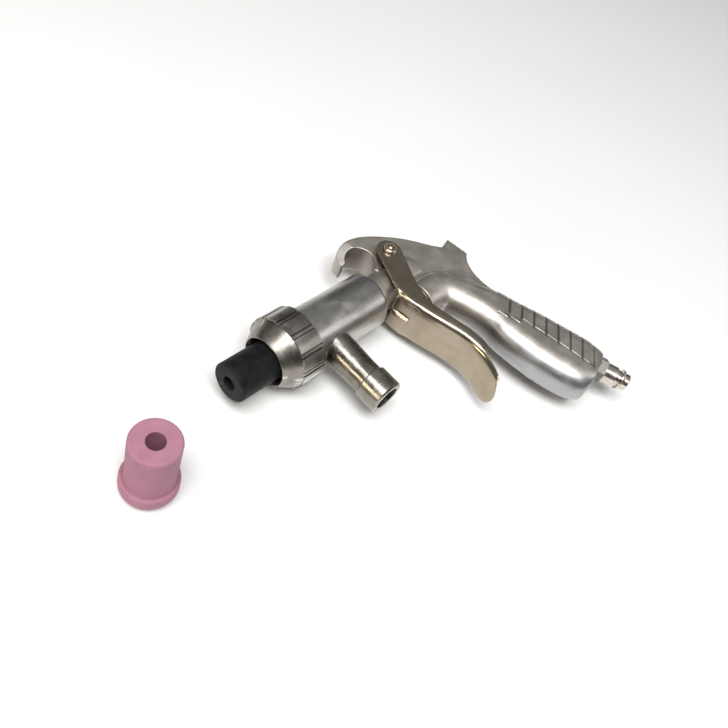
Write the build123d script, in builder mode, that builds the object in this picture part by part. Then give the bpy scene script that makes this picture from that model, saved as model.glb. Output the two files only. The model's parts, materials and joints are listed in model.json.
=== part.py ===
from build123d import *
import math
import os

# Suction-feed sandblasting gun, lying on its side, with a spare ceramic nozzle
# standing beside it. Millimetres. +Z is up, normal to the gun's own mid-plane;
# the blast nozzle points along -X, the hanging hook is on the +Y side and the
# grip runs down the -Y side. Z = 0 is the surface that the gun lies on.

# ---------------------------------------------------------------- frame
# The gun is dimensioned from the tip of its blast nozzle, on the barrel axis.
NUT_R = 19.4
TIP_X = -62.1
AXIS_Y = 46.8
AXIS_Z = NUT_R

# ---------------------------------------------------------------- clearances
RUN = 0.08          # radial clearance of a running fit
GAP = 0.3           # clearance between bodies that only pass each other

# ---------------------------------------------------------------- barrel line
NOZZLE_TIP_X = -0.4
NOZZLE_R = 10.2
NOZZLE_BORE = 3.7
NOZZLE_FLANGE_R = 12.6
NOZZLE_FLANGE_X = 27.5
NOZZLE_END_X = 39.0
NOZZLE_THROAT = 9.0
GASKET = 1.5
HEAD_X = NOZZLE_END_X + GASKET
HEAD_R = 15.0
HEAD_END_X = 95.0
CHAMBER_R = 9.5
CHAMBER_END_X = 78.0
TUBE_R = 8.0        # barrel tube in the mixing head
TUBE_THREAD_R = 6.0
TUBE_THREAD_END_X = 112.0
JET_R = 5.0
JET_TIP_X = 49.0
JET_ORIFICE = 1.3
RING_R = 0.9        # section radius of the small O-rings

NUT_X = 21.0
NUT_OPENING_R = 11.4
NUT_MOUTH_R = 12.8    # the opening flares out to its front edge
NUT_FACE_R = 13.4
NUT_BAND_X = 29.6
NUT_END_X = 44.4
NUT_PADS = 12
NUT_STEP = 0.9      # height of the pads above the cone

# ---------------------------------------------------------------- suction tube
SUCTION_X = 57.8
SUCTION_ROOT_R = 9.0
SUCTION_NECK_R = 8.4
SUCTION_COLLAR_R = 9.5
SUCTION_BORE = 6.6
SUCTION_SPIGOT_R = 7.6
SUCTION_COLLAR_Y = -37.2
SUCTION_END_Y = -49.7

# ---------------------------------------------------------------- casting
CHEEK = 8.5         # half thickness of the upper body
BOSS_R = 10.6       # barrel boss, and round front of the neck
BOSS_X = HEAD_END_X + 0.4
GRIP_ANGLE = -67.0  # direction of the grip, from +X
BUTT_X = 177.0      # air inlet axis at the butt face
BUTT_Y = -105.9

# ---------------------------------------------------------------- valve line
VALVE_X = 104.0     # stem tip end of the valve axis
VALVE_Y = -16.9
VALVE_ANGLE = 10.5
GLAND_T = 8.6       # front face of the valve boss, along the valve axis
GLAND_END_T = 18.0
SEAT_T = 28.0
CAP_T = 53.0
CAP_FACE_T = 62.4
STEM_R = 2.0
GLAND_R = 5.5
SEAT_R = 3.6
VALVE_CHAMBER_R = 5.6

# ---------------------------------------------------------------- trigger
PIVOT_X = 120.0
PIVOT_Y = 12.3
PIVOT_R = 2.5
TRIGGER_HALF = 13.3
SHEET = 1.4

# ---------------------------------------------------------------- spare nozzle
SPARE_X = -52.4
SPARE_Y = -13.5
SPARE_R = 11.05
SPARE_BORE = 4.1
SPARE_FLANGE_R = 12.9
SPARE_FLANGE_H = 11.7
SPARE_H = 40.5

os.makedirs("parts", exist_ok=True)


def spot(x, y=0.0, z=0.0):
    """A point of the gun, from the nozzle tip on the barrel axis."""
    return (TIP_X + x, AXIS_Y + y, AXIS_Z + z)


def side(height=0.0):
    """The gun's side-view plane, at a height above its mid-plane."""
    return Plane(origin=spot(0, 0, height), x_dir=(1, 0, 0), z_dir=(0, 0, 1))


def across(x, y=0.0, z=0.0):
    """A plane square to the barrel, facing the butt end."""
    return Plane(origin=spot(x, y, z), x_dir=(0, 1, 0), z_dir=(1, 0, 0))


def below(x, y=0.0, z=0.0):
    """A plane facing down the suction tube and the grip, towards -Y."""
    return Plane(origin=spot(x, y, z), x_dir=(1, 0, 0), z_dir=(0, -1, 0))


def turned(x, y, angle):
    """A side-view plane with its own origin and heading."""
    heading = math.radians(angle)
    return Plane(
        origin=spot(x, y),
        x_dir=(math.cos(heading), math.sin(heading), 0),
        z_dir=(0, 0, 1),
    )


def square_to(x, y, angle):
    """A plane square to a heading in the side view, its y axis along +Z."""
    heading = math.radians(angle)
    return Plane(
        origin=spot(x, y),
        x_dir=(math.sin(heading), -math.cos(heading), 0),
        z_dir=(math.cos(heading), math.sin(heading), 0),
    )


def down_valve(along):
    """A plane square to the valve axis, at a distance from the stem's tip end."""
    return Plane(origin=VALVE.origin, x_dir=(0, 0, 1), z_dir=VALVE.x_dir).offset(along)


def down_inlet(along):
    """A plane square to the air inlet's axis, at a distance from the butt face."""
    return Plane(origin=INLET.origin, x_dir=(0, 0, 1), z_dir=INLET.x_dir).offset(along)


def write(piece, label):
    piece.part.label = label
    export_step(piece.part, f"parts/{label}.step")


BARREL = Axis(spot(0), (1, 0, 0))
VALVE = turned(VALVE_X, VALVE_Y, VALVE_ANGLE)
VALVE_AXIS = Axis(VALVE.origin, VALVE.x_dir)
INLET = turned(BUTT_X, BUTT_Y, GRIP_ANGLE)
INLET_AXIS = Axis(INLET.origin, INLET.x_dir)


# ================================================================ blast nozzle
with BuildPart() as blast_nozzle:
    with BuildSketch(side()):
        with BuildLine():
            Polyline(
                (NOZZLE_TIP_X, NOZZLE_BORE),
                (NOZZLE_TIP_X, NOZZLE_R - 0.8),
                (NOZZLE_TIP_X + 0.8, NOZZLE_R),
                (NOZZLE_FLANGE_X, NOZZLE_R),
                (NOZZLE_FLANGE_X, NOZZLE_FLANGE_R),
                (NOZZLE_END_X, NOZZLE_FLANGE_R),
                (NOZZLE_END_X, NOZZLE_THROAT),
                (NOZZLE_END_X - 13, NOZZLE_BORE),
                (NOZZLE_TIP_X, NOZZLE_BORE),
            )
        make_face()
    revolve(axis=BARREL)
write(blast_nozzle, "blast_nozzle")

with BuildPart() as nozzle_gasket:
    with BuildSketch(across(NOZZLE_END_X)):
        Circle(NOZZLE_FLANGE_R)
        Circle(NOZZLE_THROAT + 0.2, mode=Mode.SUBTRACT)
    extrude(amount=GASKET)
write(nozzle_gasket, "nozzle_gasket")


# ================================================================ nozzle nut
PAD_ARC = 20.5
RIB_ARC = 3.0


def ring_point(radius, angle):
    return (radius * math.cos(math.radians(angle)), radius * math.sin(math.radians(angle)))


def sector(radius, middle, arc):
    """A short piece of ring, from inside the nut's wall out to a radius."""
    root = NUT_R - NUT_STEP - 0.6
    with BuildSketch(Plane.XY) as shape:
        with BuildLine():
            start = Line(ring_point(root, middle - arc / 2), ring_point(radius, middle - arc / 2))
            rim = ThreePointArc(start @ 1, ring_point(radius, middle), ring_point(radius, middle + arc / 2))
            Polyline(rim @ 1, ring_point(root, middle + arc / 2), start @ 0)
        make_face()
    return shape.sketch


with BuildPart() as nozzle_nut:
    with BuildSketch(side()):
        with BuildLine():
            Polyline(
                (NUT_X, NUT_MOUTH_R),
                (NUT_X, NUT_FACE_R - 0.3),
                (NUT_X + 0.3, NUT_FACE_R),
                (NUT_BAND_X, NUT_R - NUT_STEP),
                (NUT_END_X - 2.0, NUT_R - NUT_STEP),
                (NUT_END_X, NUT_R - 2.2),
                (NUT_END_X, HEAD_R + RUN),
                (NOZZLE_FLANGE_X - GAP, HEAD_R + RUN),
                (NOZZLE_FLANGE_X - GAP, NUT_OPENING_R),
                (NUT_X + 2.4, NUT_OPENING_R),
                (NUT_X, NUT_MOUTH_R),
            )
        make_face()
    revolve(axis=BARREL)
    # wide grip pads with a narrow rib between each two
    with BuildSketch(across(NUT_BAND_X)):
        for index in range(NUT_PADS):
            turn = 360 * index / NUT_PADS
            add(sector(NUT_R, turn, PAD_ARC))
            add(sector(NUT_R - 0.3, turn + 180 / NUT_PADS, RIB_ARC))
    extrude(amount=NUT_END_X - NUT_BAND_X)
    with BuildSketch(side()):
        with BuildLine():
            Polyline(
                (NUT_END_X - 1.4, NUT_R + 0.4), (NUT_END_X + 0.4, NUT_R + 0.4),
                (NUT_END_X + 0.4, NUT_R - 2.3), (NUT_END_X - 1.4, NUT_R + 0.4),
            )
        make_face()
    revolve(axis=BARREL, mode=Mode.SUBTRACT)
write(nozzle_nut, "nozzle_nut")


# ================================================================ mixing head
with BuildPart() as mixing_head:
    with BuildSketch(side()):
        with BuildLine():
            shoulder = ThreePointArc(
                (HEAD_END_X - 2.4, HEAD_R),
                (HEAD_END_X - 0.7, HEAD_R - 0.7),
                (HEAD_END_X, HEAD_R - 2.4),
            )
            Polyline(
                shoulder @ 1,
                (HEAD_END_X, TUBE_R),
                (CHAMBER_END_X, TUBE_R),
                (CHAMBER_END_X, CHAMBER_R),
                (HEAD_X, CHAMBER_R),
                (HEAD_X, HEAD_R - 0.8),
                (HEAD_X + 0.8, HEAD_R),
                shoulder @ 0,
            )
        make_face()
    revolve(axis=BARREL)
    with BuildSketch(below(SUCTION_X)):
        Circle(SUCTION_SPIGOT_R)
    extrude(amount=HEAD_R + 1, mode=Mode.SUBTRACT)
write(mixing_head, "mixing_head")

SUCTION_AXIS = Axis(spot(SUCTION_X), (0, -1, 0))
with BuildPart() as suction_tube:
    with BuildSketch(side()):
        with BuildLine():
            Polyline(
                (SUCTION_X, SUCTION_END_Y),
                (SUCTION_X + SUCTION_COLLAR_R - 0.8, SUCTION_END_Y),
                (SUCTION_X + SUCTION_COLLAR_R, SUCTION_END_Y + 0.8),
                (SUCTION_X + SUCTION_COLLAR_R, SUCTION_COLLAR_Y - 0.5),
                (SUCTION_X + SUCTION_COLLAR_R - 0.5, SUCTION_COLLAR_Y),
                (SUCTION_X + SUCTION_NECK_R, SUCTION_COLLAR_Y),
                (SUCTION_X + SUCTION_NECK_R, SUCTION_COLLAR_Y + 6),
                (SUCTION_X + SUCTION_ROOT_R, -HEAD_R - 1.5),
                (SUCTION_X + SUCTION_ROOT_R, -HEAD_R + 5),
                (SUCTION_X, -HEAD_R + 5),
                (SUCTION_X, SUCTION_END_Y),
            )
        make_face()
    revolve(axis=SUCTION_AXIS)
    with BuildSketch(across(SUCTION_X - 15)):
        Circle(HEAD_R)
    extrude(amount=30, mode=Mode.SUBTRACT)
    with BuildSketch(below(SUCTION_X, -CHAMBER_R - 0.6)):
        Circle(SUCTION_SPIGOT_R)
    extrude(amount=12)
    with BuildSketch(below(SUCTION_X)):
        Circle(SUCTION_BORE)
    extrude(amount=-SUCTION_END_Y + 1, mode=Mode.SUBTRACT)
write(suction_tube, "suction_tube")


# ================================================================ barrel tube and air jet
RING_X = HEAD_END_X - 7
with BuildPart() as barrel_tube:
    with BuildSketch(side()):
        with BuildLine():
            Polyline(
                (CHAMBER_END_X, JET_R),
                (CHAMBER_END_X, TUBE_R),
                (RING_X - RING_R, TUBE_R),
                (RING_X - RING_R, TUBE_R - 2 * RING_R),
                (RING_X + RING_R, TUBE_R - 2 * RING_R),
                (RING_X + RING_R, TUBE_R),
                (BOSS_X, TUBE_R),
                (BOSS_X, TUBE_THREAD_R),
                (TUBE_THREAD_END_X, TUBE_THREAD_R),
                (TUBE_THREAD_END_X, JET_R - 1.4),
                (CHAMBER_END_X + 10, JET_R - 1.4),
                (CHAMBER_END_X + 10, JET_R),
                (CHAMBER_END_X, JET_R),
            )
        make_face()
    revolve(axis=BARREL)
write(barrel_tube, "barrel_tube")

with BuildPart() as head_o_ring:
    with BuildSketch(side()):
        with Locations((RING_X, TUBE_R - RING_R)):
            Circle(RING_R)
    revolve(axis=BARREL)
write(head_o_ring, "head_o_ring")

with BuildPart() as air_jet:
    with BuildSketch(side()):
        with BuildLine():
            Polyline(
                (JET_TIP_X, JET_ORIFICE),
                (JET_TIP_X, 2.6),
                (JET_TIP_X + 9, 4.6),
                (CHAMBER_END_X - 5, 4.6),
                (CHAMBER_END_X - 5, 6.8),
                (CHAMBER_END_X - 0.05, 6.8),
                (CHAMBER_END_X - 0.05, JET_R),
                (CHAMBER_END_X + 9, JET_R),
                (CHAMBER_END_X + 9, 3.0),
                (JET_TIP_X + 12, 3.0),
                (JET_TIP_X + 7, JET_ORIFICE),
                (JET_TIP_X, JET_ORIFICE),
            )
        make_face()
    revolve(axis=BARREL)
write(air_jet, "air_jet")


# ================================================================ gun body
# Grip stations, from the valve boss round the neck and down to the butt: the
# middle of the section, its heading, half the length of its flat cheeks and
# the radius of its round front and back.
NECK_X = 126.0
NECK_Y = -16.3
NECK_R = 17.5


def neck(turn):
    """Middle and heading of the neck after it has turned down by some degrees."""
    swing = math.radians(turn)
    return (NECK_X + NECK_R * math.sin(swing), NECK_Y - NECK_R * (1 - math.cos(swing)), -turn)


def grip(along, front, back):
    """A grip section: distance from the butt face and its front and back edges."""
    heading = math.radians(GRIP_ANGLE)
    middle = (front + back) / 2
    return (
        BUTT_X + along * math.cos(heading) - middle * math.sin(heading),
        BUTT_Y + along * math.sin(heading) + middle * math.cos(heading),
        GRIP_ANGLE,
    )


def section(station, half, radius):
    """A long round-ended section, square to the heading of its station."""
    with BuildSketch(square_to(*station)) as shape:
        with BuildLine():
            near = Line((-half, radius), (half, radius))
            back = RadiusArc(near @ 1, (half, -radius), radius)
            far = Line(back @ 1, (-half, -radius))
            RadiusArc(far @ 1, near @ 0, radius)
        make_face()
    return shape.sketch


PADS = 8
PAD_PITCH = 7.4
PAD_RISE = 0.4
PAD_TILT = 11.0


def casting(swell):
    """Round-fronted neck and grip, its skin moved out by a swell."""
    stations = [
        section((118.5, NECK_Y, 0), 0.6, BOSS_R + swell),
        section((NECK_X, NECK_Y, 0), 0.6, BOSS_R + swell),
        section(neck(34), 0.8, BOSS_R + swell),
        section(neck(67), 1.4, BOSS_R + swell),
        section(grip(-70, -13.9, 12.8), 2.75, BOSS_R + swell),
        section(grip(-58, -19.3, 12.3), 4.8, 11.0 + swell),
        section(grip(-44, -24.1, 12.1), 6.6, 11.5 + swell),
        section(grip(-30, -27.3, 11.5), 7.6, 11.8 + swell),
        section(grip(-16, -28.3, 10.4), 7.6, 11.9 + swell),
        section(grip(-6, -27.2, 9.6), 7.1, 11.4 + swell),
        section(grip(0, -22.0, 7.4), 4.6, 10.5 + swell),
    ]
    return loft(sections=stations, mode=Mode.PRIVATE)


with BuildPart() as upper:
    # flat-cheeked upper body with the hook, the top line and the rear hump
    with BuildSketch(side(-CHEEK)):
        with BuildLine():
            tip = Line((97.8, 22.4), (95.3, 21.8))
            hook_nose = Spline(tip @ 1, (95.6, 26.8), (100.7, 31.0), (107.5, 32.8))
            crown = Spline(
                hook_nose @ 1, (118.0, 30.8), (130.0, 24.3), (141.0, 15.9), (152.0, 4.2),
                tangents=((1, 0), (0.68, -0.73)),
            )
            ledge = Line(crown @ 1, (156.2, 0.6))
            hump_top = Line(ledge @ 1, (164.3, 2.9))
            hump_back = Line(hump_top @ 1, (166.8, -11.2))
            hollow = Spline(
                hump_back @ 1, (160.2, -18.6), (157.9, -29.0), (160.2, -42.0),
                tangents=((-1, -0.7), (0.3, -1)),
            )
            Polyline(
                hollow @ 1, (150, -44), (143, -30), (138, -21.5), (130, -17.2), (112, -13),
                (106.5, 9.0),
            )
            throat = ThreePointArc((106.5, 9.0), (112.8, 19.6), (105.2, 27.0))
            ThreePointArc(throat @ 1, (100.7, 25.8), tip @ 0)
        make_face()
    extrude(amount=2 * CHEEK)
    skyline = upper.faces().filter_by(Axis.Z).edges().filter_by(
        lambda edge: edge.center().Y > AXIS_Y - 35 and edge.center().X > TIP_X + 115
        and edge.center().Y + edge.center().X > AXIS_Y + TIP_X + 132
    )
    fillet(skyline, radius=2.0)

with BuildPart() as gun_body:
    add(upper.part)
    # the hook narrows towards its tip
    with BuildSketch(below(0, 12)):
        for up in (1, -1):
            with BuildLine():
                Polyline(
                    (118, up * (CHEEK + 2)), (118, up * CHEEK), (107, up * CHEEK),
                    (94, up * 4.6), (88, up * 4.4), (88, up * (CHEEK + 2)),
                    (118, up * (CHEEK + 2)),
                )
            make_face()
    extrude(amount=-40, mode=Mode.SUBTRACT)
    # barrel boss, valve boss, neck and grip
    with BuildSketch(across(BOSS_X)):
        Circle(BOSS_R)
    extrude(amount=130 - BOSS_X)
    with BuildSketch(down_valve(GLAND_T)):
        Circle(GLAND_R + 1.7)
    extrude(amount=20)
    add(casting(0))
    # the butt falls away in front of the inlet
    with BuildSketch(Plane(origin=INLET.origin, x_dir=INLET.x_dir, z_dir=(0, 0, 1)).offset(-20)):
        with BuildLine():
            Polyline((0, -8), (-1.4, -17), (-2.6, -25), (-3, -34), (6, -34), (6, -8), (0, -8))
        make_face()
    extrude(amount=40, mode=Mode.SUBTRACT)
    # raised pads wrap the back of the grip, with slanted grooves between them
    skin = casting(PAD_RISE)
    heading = math.radians(GRIP_ANGLE)
    pads = []
    for index in range(PADS):
        top = -66.5 + index * PAD_PITCH
        front = -7.0 if index < 2 else -2.0 - 1.3 * index
        lean = math.tan(math.radians(PAD_TILT))
        with BuildSketch(Plane(origin=INLET.origin, x_dir=INLET.x_dir, z_dir=(0, 0, 1)).offset(-20)) as pad:
            with BuildLine():
                Polyline(
                    (top + 1.3 - front * lean, front),
                    (top + PAD_PITCH - (front - 1.3) * lean, front - 1.3),
                    (top + PAD_PITCH - 20 * lean, 20),
                    (top + 1.3 - 20 * lean, 20),
                    (top + 1.3 - front * lean, front),
                )
            make_face()
        pads.append(extrude(pad.sketch, amount=40, mode=Mode.PRIVATE) & skin)
    add(pads)
    # barrel bore: thread for the barrel tube, then the air way to the valve
    with BuildSketch(across(BOSS_X - 1)):
        Circle(TUBE_THREAD_R)
    extrude(amount=TUBE_THREAD_END_X - BOSS_X + 1, mode=Mode.SUBTRACT)
    with BuildSketch(across(TUBE_THREAD_END_X)):
        Circle(3.6)
    extrude(amount=16, mode=Mode.SUBTRACT)
    with BuildSketch(down_valve(21.5)):
        Circle(SEAT_R)
    extrude(amount=SEAT_T - 21.5, mode=Mode.SUBTRACT)
    with BuildSketch(below(TUBE_THREAD_END_X + 13)):
        Circle(3.0)
    extrude(amount=13, mode=Mode.SUBTRACT)
    # valve line: gland thread, seat bore, chamber and cap seat
    with BuildSketch(down_valve(GLAND_T - 1)):
        Circle(GLAND_R)
    extrude(amount=GLAND_END_T + 3.5 - GLAND_T + 1, mode=Mode.SUBTRACT)
    with BuildSketch(down_valve(SEAT_T)):
        Circle(VALVE_CHAMBER_R)
    extrude(amount=60, mode=Mode.SUBTRACT)
    with BuildSketch(down_valve(CAP_FACE_T + 0.1)):
        Circle(VALVE_CHAMBER_R + 1.0)
    extrude(amount=20, mode=Mode.SUBTRACT)
    # air way up the grip, with the thread of the inlet plug
    with BuildSketch(down_inlet(-98)):
        Circle(3.5)
    extrude(amount=99, mode=Mode.SUBTRACT)
    with BuildSketch(down_inlet(-11)):
        Circle(6.5)
    extrude(amount=20, mode=Mode.SUBTRACT)
    # pivot hole
    with BuildSketch(side(-CHEEK - 1)):
        with Locations((PIVOT_X, PIVOT_Y)):
            Circle(PIVOT_R)
    extrude(amount=2 * CHEEK + 2, mode=Mode.SUBTRACT)
write(gun_body, "gun_body")


# ================================================================ pivot
HEAD_Z = TRIGGER_HALF + 0.1
with BuildPart() as pivot_pin:
    with BuildSketch(Plane(origin=spot(PIVOT_X, PIVOT_Y), x_dir=(1, 0, 0), z_dir=(0, -1, 0))):
        with BuildLine():
            Polyline(
                (0, -HEAD_Z - 1.8),
                (PIVOT_R - RUN, -HEAD_Z - 1.8),
                (PIVOT_R - RUN, HEAD_Z),
                (3.8, HEAD_Z),
                (3.8, HEAD_Z + 1.0),
            )
            dome = ThreePointArc((3.8, HEAD_Z + 1.0), (3.0, HEAD_Z + 1.9), (2.0, HEAD_Z + 2.1))
            Polyline(dome @ 1, (1.7, HEAD_Z + 0.7), (0, HEAD_Z + 0.7), (0, -HEAD_Z - 1.8))
        make_face()
    revolve(axis=Axis(spot(PIVOT_X, PIVOT_Y), (0, 0, 1)))
write(pivot_pin, "pivot_pin")

with BuildPart() as pivot_ring:
    with BuildSketch(side(-HEAD_Z - 1.3)):
        with Locations((PIVOT_X, PIVOT_Y)):
            Circle(4.4)
            Circle(PIVOT_R - RUN, mode=Mode.SUBTRACT)
    extrude(amount=1.2)
write(pivot_ring, "pivot_ring")


# ================================================================ valve
with BuildPart() as valve_gland:
    with BuildSketch(down_valve(GLAND_T)):
        Circle(GLAND_R)
    extrude(amount=GLAND_END_T - GLAND_T)
    with BuildSketch(down_valve(GLAND_T)):
        Rectangle(1.2, 14)
    extrude(amount=1.0, mode=Mode.SUBTRACT)
    with BuildSketch(down_valve(GLAND_T - 2)):
        Circle(STEM_R + RUN)
    extrude(amount=GLAND_END_T - GLAND_T + 3, mode=Mode.SUBTRACT)
    with BuildSketch(down_valve(GLAND_END_T - 2.2)):
        Circle(STEM_R + RUN + 2 * RING_R)
    extrude(amount=4, mode=Mode.SUBTRACT)
write(valve_gland, "valve_gland")

with BuildPart() as stem_o_ring:
    with BuildSketch(VALVE):
        with Locations((GLAND_END_T - 1.2, STEM_R + RUN + RING_R)):
            Circle(RING_R)
    revolve(axis=VALVE_AXIS)
write(stem_o_ring, "stem_o_ring")

with BuildPart() as valve_stem:
    with BuildSketch(VALVE):
        with BuildLine():
            nose = ThreePointArc((0.7, 0), (1.2, 1.3), (2.4, STEM_R))
            Polyline(nose @ 1, (36, STEM_R), (36, 0), (0.7, 0))
        make_face()
    revolve(axis=VALVE_AXIS)
write(valve_stem, "valve_stem")

SEAL = 1.8
with BuildPart() as valve_seal:
    with BuildSketch(down_valve(SEAT_T + 0.05)):
        Circle(4.9)
        Circle(STEM_R, mode=Mode.SUBTRACT)
    extrude(amount=SEAL)
write(valve_seal, "valve_seal")

POPPET_T = SEAT_T + 0.05 + SEAL
with BuildPart() as valve_poppet:
    with BuildSketch(VALVE):
        with BuildLine():
            Polyline(
                (POPPET_T, STEM_R), (POPPET_T, 5.0), (POPPET_T + 2.2, 5.0),
                (POPPET_T + 2.2, 2.9), (POPPET_T + 6.1, 2.7), (POPPET_T + 6.1, STEM_R), (POPPET_T, STEM_R),
            )
        make_face()
    revolve(axis=VALVE_AXIS)
write(valve_poppet, "valve_poppet")

SPRING_T = POPPET_T + 2.3
SPRING_WIRE = 0.45
SPRING_R = 3.8
with BuildPart() as valve_spring:
    with BuildLine():
        coil = Helix(
            pitch=(CAP_T + 1.9 - SPRING_T - 2 * SPRING_WIRE) / 8,
            height=CAP_T + 1.9 - SPRING_T - 2 * SPRING_WIRE,
            radius=SPRING_R,
            center=down_valve(SPRING_T + SPRING_WIRE).origin,
            direction=VALVE.x_dir,
        )
    with BuildSketch(Plane(origin=coil @ 0, z_dir=coil % 0)):
        Circle(SPRING_WIRE)
    sweep(is_frenet=True)
write(valve_spring, "valve_spring")

with BuildPart() as valve_cap:
    with BuildSketch(VALVE):
        with BuildLine():
            Polyline(
                (CAP_T, 4.5), (CAP_T, VALVE_CHAMBER_R), (CAP_FACE_T - 2.2, VALVE_CHAMBER_R),
                (CAP_FACE_T - 2.2, VALVE_CHAMBER_R - 1.4), (CAP_FACE_T + 0.1, VALVE_CHAMBER_R - 1.4),
                (CAP_FACE_T + 0.1, VALVE_CHAMBER_R + 0.7), (CAP_FACE_T + 2.0, VALVE_CHAMBER_R + 0.7),
                (CAP_FACE_T + 2.6, VALVE_CHAMBER_R + 0.1), (CAP_FACE_T + 2.6, 0), (CAP_T + 2.0, 0),
                (CAP_T + 2.0, 4.5), (CAP_T, 4.5),
            )
        make_face()
    revolve(axis=VALVE_AXIS)
    with BuildSketch(down_valve(CAP_FACE_T + 1.4)):
        Rectangle(20, 1.6)
    extrude(amount=3, mode=Mode.SUBTRACT)
write(valve_cap, "valve_cap")

with BuildPart() as cap_o_ring:
    with BuildSketch(VALVE):
        with Locations((CAP_FACE_T - 1.1, VALVE_CHAMBER_R - 0.7)):
            Circle(0.7)
    revolve(axis=VALVE_AXIS)
write(cap_o_ring, "cap_o_ring")


# ================================================================ air inlet plug
PLUG_HEX = 6.3
PLUG_BODY_R = 5.8
PLUG_NECK_R = 4.8
PLUG_COLLAR_R = 6.0
PLUG_TIP_R = 4.8
PLUG_END = 20.9
with BuildPart() as inlet_seal:
    with BuildSketch(down_inlet(0)):
        Circle(7.1)
        Circle(6.5, mode=Mode.SUBTRACT)
    extrude(amount=1.2)
write(inlet_seal, "inlet_seal")

with BuildPart() as inlet_plug:
    with BuildSketch(INLET):
        with BuildLine():
            Polyline(
                (-10, 3.2), (-10, 5.9), (-9.4, 6.5), (1.2, 6.5), (1.2, PLUG_BODY_R),
                (PLUG_END - 8.4, PLUG_BODY_R), (PLUG_END - 7.8, PLUG_NECK_R),
                (PLUG_END - 5.8, PLUG_NECK_R), (PLUG_END - 5.2, PLUG_COLLAR_R), (PLUG_END - 4.2, PLUG_COLLAR_R),
                (PLUG_END - 3.2, PLUG_TIP_R), (PLUG_END - 0.6, PLUG_TIP_R), (PLUG_END, PLUG_TIP_R - 0.6),
                (PLUG_END, 3.2), (-10, 3.2),
            )
        make_face()
    revolve(axis=INLET_AXIS)
    with BuildSketch(down_inlet(1.2)):
        RegularPolygon(PLUG_HEX, 6, major_radius=False)
        Circle(3.2, mode=Mode.SUBTRACT)
    extrude(amount=4.6)
write(inlet_plug, "inlet_plug")


# ================================================================ trigger
with BuildPart() as trigger_lever:
    with BuildSketch(side(-TRIGGER_HALF)):
        with BuildLine():
            shin = Line((112.8, 15.0), (101.9, -11.3))
            face = Spline(
                shin @ 1, (104.2, -26.0), (108.8, -41.0), (112.4, -55.0), (111.9, -66.0), (105.2, -83.4),
                tangents=((0.05, -1), (-0.42, -1)),
            )
            tail = Line(face @ 1, (107.0, -83.8))
            lips = Spline(
                tail @ 1, (112.0, -72.0), (114.9, -64.0), (117.5, -56.0), (114.6, -34.0), (112.9, -24.0), (116.0, -12.0),
                tangents=((0.42, 1), (0.45, 1)),
            )
            heel = Line(lips @ 1, (125.6, 7.6))
            ThreePointArc(heel @ 1, (122.6, 19.0), shin @ 0)
        make_face()
    extrude(amount=2 * TRIGGER_HALF)
    bends = trigger_lever.edges().filter_by(Plane.XY).group_by(Axis.Z)
    outer = [
        edge for edge in bends[0] + bends[-1]
        if edge.center().X < TIP_X + 112.4 and edge.length > 40
    ]
    fillet(outer, radius=1.7)
    inside = TRIGGER_HALF - SHEET
    with BuildSketch(side(-inside)):
        with BuildLine():
            inner = Spline(
                (103.3, -11.3), (105.6, -26.0), (110.2, -41.0), (113.8, -55.0), (113.3, -66.0), (106.4, -84.8),
                tangents=((0.05, -1), (-0.42, -1)),
            )
            Polyline(inner @ 1, (130, -84.8), (130, 24), (92, 24), (92, -11.3), inner @ 0)
        make_face()
    extrude(amount=2 * inside, mode=Mode.SUBTRACT)
    # the paddle ends in a full round, seen from the front
    with BuildSketch(across(80)):
        with BuildLine():
            edge = Line((-69, -TRIGGER_HALF - 1), (-69, -TRIGGER_HALF))
            round_end = Spline(
                edge @ 1, (-79.4, -9.2), (-83.0, 0), (-79.4, 9.2), (-69, TRIGGER_HALF),
                tangents=((-1, 0), (1, 0)),
            )
            Polyline(
                round_end @ 1, (-69, TRIGGER_HALF + 1), (-90, TRIGGER_HALF + 1),
                (-90, -TRIGGER_HALF - 1), edge @ 0,
            )
        make_face()
    extrude(amount=60, mode=Mode.SUBTRACT)
    with BuildSketch(side(-TRIGGER_HALF - 1)):
        with Locations((PIVOT_X, PIVOT_Y)):
            Circle(PIVOT_R)
    extrude(amount=2 * TRIGGER_HALF + 2, mode=Mode.SUBTRACT)
    # stiffening rib pressed into the upper web
    with BuildSketch(turned(102.1, -18.2, -83.0)):
        with Locations((0, 0)):
            Ellipse(5.4, 1.5)
    extrude(amount=1.4, both=True)
write(trigger_lever, "trigger_lever")


# ================================================================ spare nozzle
SPARE_AXIS = Axis((TIP_X + SPARE_X, AXIS_Y + SPARE_Y, 0), (0, 0, 1))
with BuildPart() as spare_nozzle:
    with BuildSketch(Plane(origin=SPARE_AXIS.position, x_dir=(1, 0, 0), z_dir=(0, -1, 0))):
        with BuildLine():
            Polyline(
                (9.0, 0), (SPARE_FLANGE_R - 2.8, 0), (SPARE_FLANGE_R - 0.4, 4.2),
                (SPARE_FLANGE_R, 5.4), (SPARE_FLANGE_R, SPARE_FLANGE_H - 1.0),
                (SPARE_FLANGE_R - 1.0, SPARE_FLANGE_H), (SPARE_R, SPARE_FLANGE_H),
                (SPARE_R, SPARE_H - 0.8), (SPARE_R - 0.8, SPARE_H), (SPARE_BORE, SPARE_H),
                (SPARE_BORE, 13), (9.0, 0),
            )
        make_face()
    revolve(axis=SPARE_AXIS)
write(spare_nozzle, "spare_nozzle")
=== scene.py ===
import json
import math

import bmesh
import bpy
import numpy as np
from mathutils import Matrix, Vector, noise


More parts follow.
